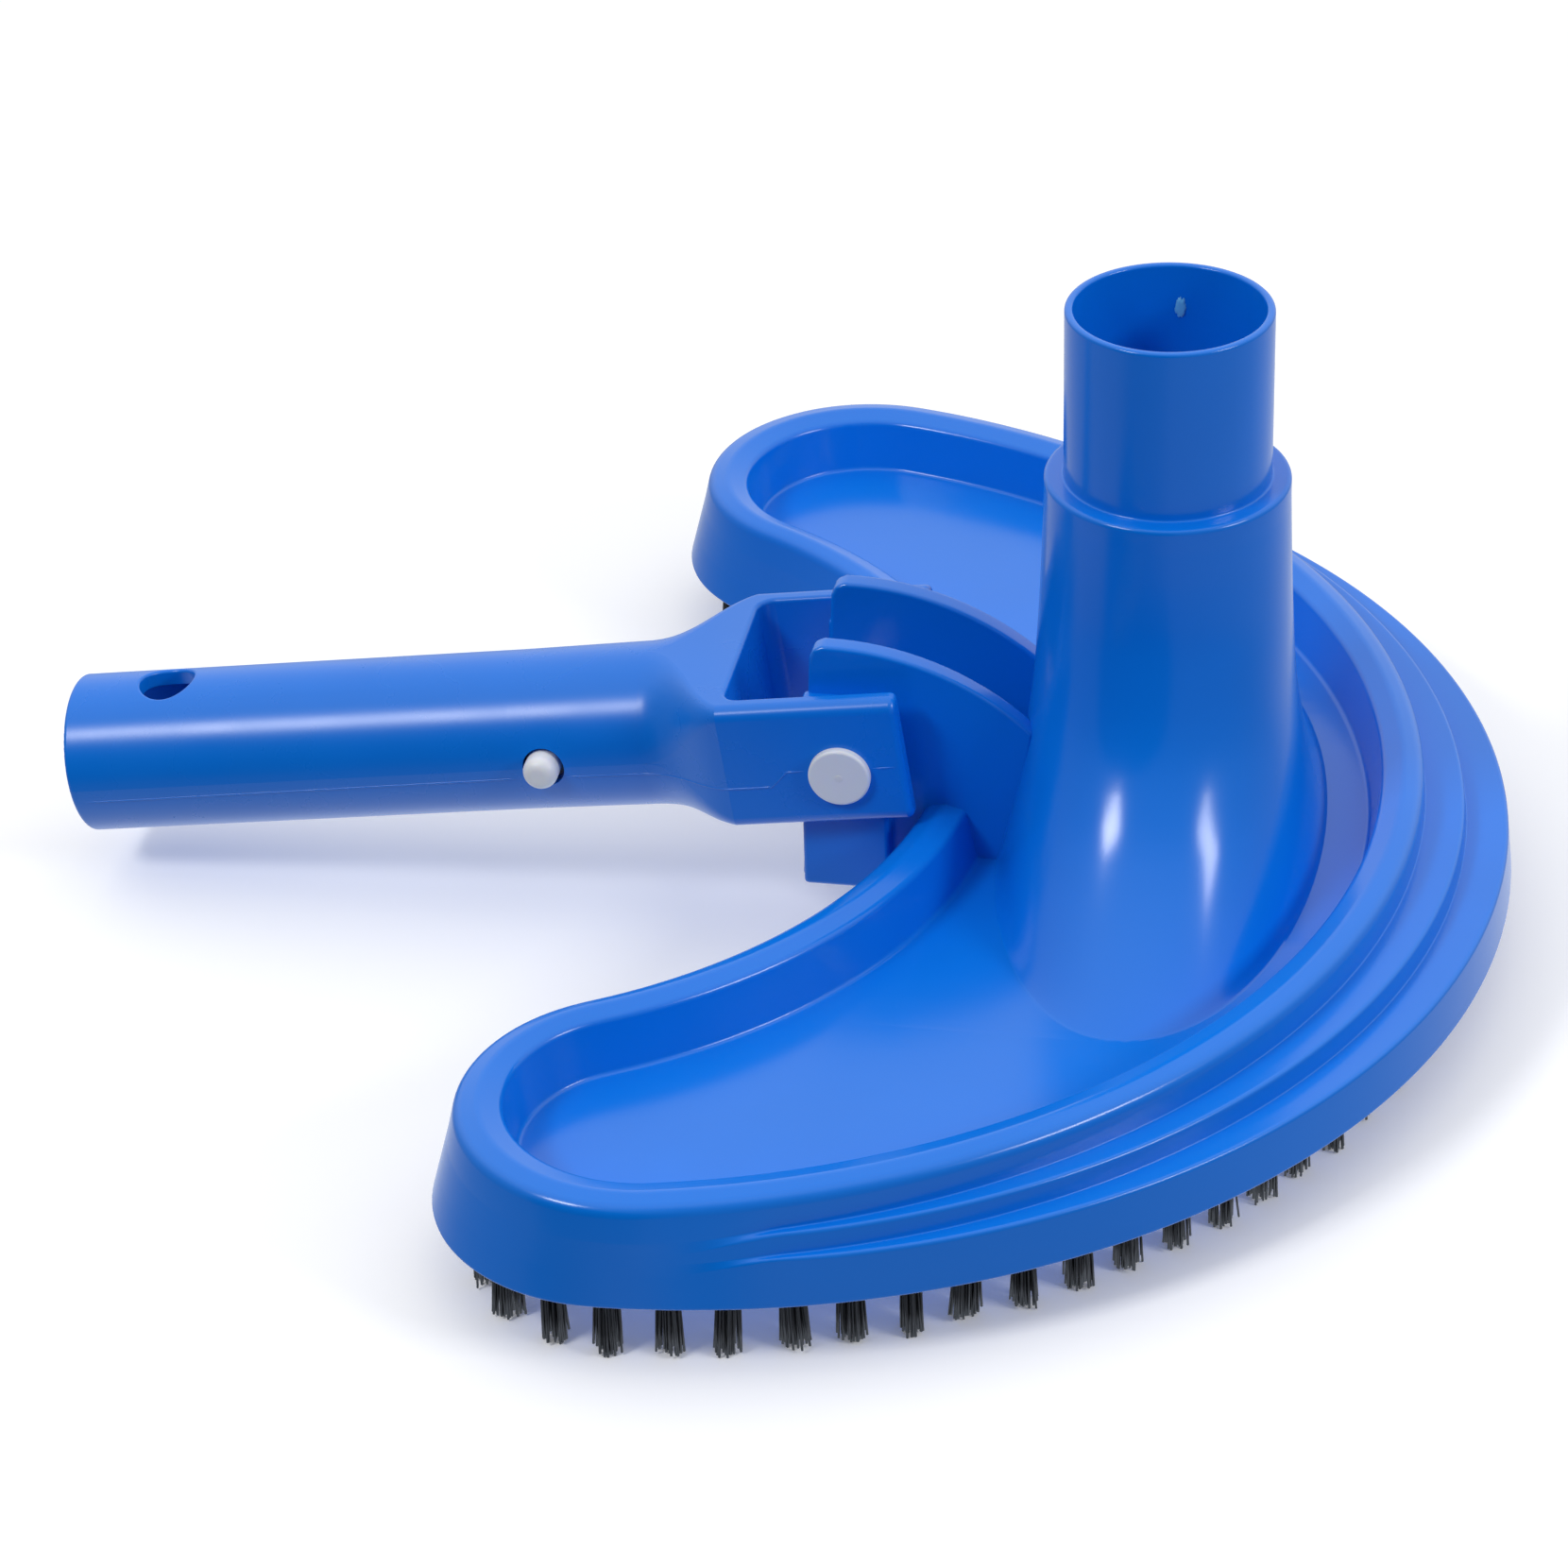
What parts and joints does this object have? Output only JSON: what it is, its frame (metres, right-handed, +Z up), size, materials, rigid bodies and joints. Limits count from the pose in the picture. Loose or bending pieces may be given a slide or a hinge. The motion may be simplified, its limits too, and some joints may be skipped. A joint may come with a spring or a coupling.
{
  "type": "pool vacuum head",
  "caption": "Half-moon pool vacuum head with a brush round its underside, an upright hose port on a flared throat, and a hinged pole handle with a snap clip.",
  "frame": {"origin": "on the floor, under the middle of the object's bounding box with the handle at rest", "axes": "+Z up along the hose port, +X forward from the handle to the long curved edge, +Y across the head; symmetric about y = 0"},
  "size_m": [0.2818, 0.3018, 0.1344],
  "materials": {
    "blue_shell": "glossy moulded blue plastic",
    "blue_ring": "moulded blue plastic",
    "blue_handle": "glossy moulded blue plastic",
    "white_pin": "white moulded plastic",
    "white_clip": "white moulded plastic",
    "screw_steel": "stainless steel",
    "bristle_black": "coarse black nylon filament"
  },
  "bodies": {
    "head": {"head_shell": "blue_shell", "brush_ring": "blue_ring", "ring_screws": "screw_steel", "tufts_01": "bristle_black", "tufts_02": "bristle_black", "tufts_03": "bristle_black", "tufts_04": "bristle_black", "tufts_05": "bristle_black", "tufts_06": "bristle_black", "tufts_07": "bristle_black", "tufts_08": "bristle_black", "tufts_09": "bristle_black", "tufts_10": "bristle_black", "tufts_11": "bristle_black", "tufts_12": "bristle_black", "tufts_13": "bristle_black", "tufts_14": "bristle_black", "tufts_15": "bristle_black", "tufts_16": "bristle_black", "tufts_17": "bristle_black", "tufts_18": "bristle_black", "tufts_19": "bristle_black"},
    "handle": {"handle": "blue_handle", "hinge_pin": "white_pin", "hinge_pin_cap": "white_pin", "snap_clip_bend": "white_clip"},
    "left_leg": {"snap_clip_left": "white_clip"},
    "right_leg": {"snap_clip_right": "white_clip"}
  },
  "joints": [
    {"name": "handle_hinge", "type": "hinge", "parent": "head", "child": "handle", "pos_m": [0.0164, 0, 0.0451], "axis": [0, 1, 0], "range_deg": [-2.9, 55]},
    {"name": "left_button", "type": "hinge", "parent": "handle", "child": "left_leg", "pos_m": [-0.08857, 0.0065, 0.03035], "axis": [0.1392, 0, -0.9903], "range_deg": [0, 3.8], "stiffness_Nm_per_rad": 1.5, "springref_deg": -2.86},
    {"name": "right_button", "type": "hinge", "parent": "handle", "child": "right_leg", "pos_m": [-0.08857, -0.0065, 0.03035], "axis": [-0.1392, 0, 0.9903], "range_deg": [0, 3.8], "stiffness_Nm_per_rad": 1.5, "springref_deg": -2.86}
  ]
}
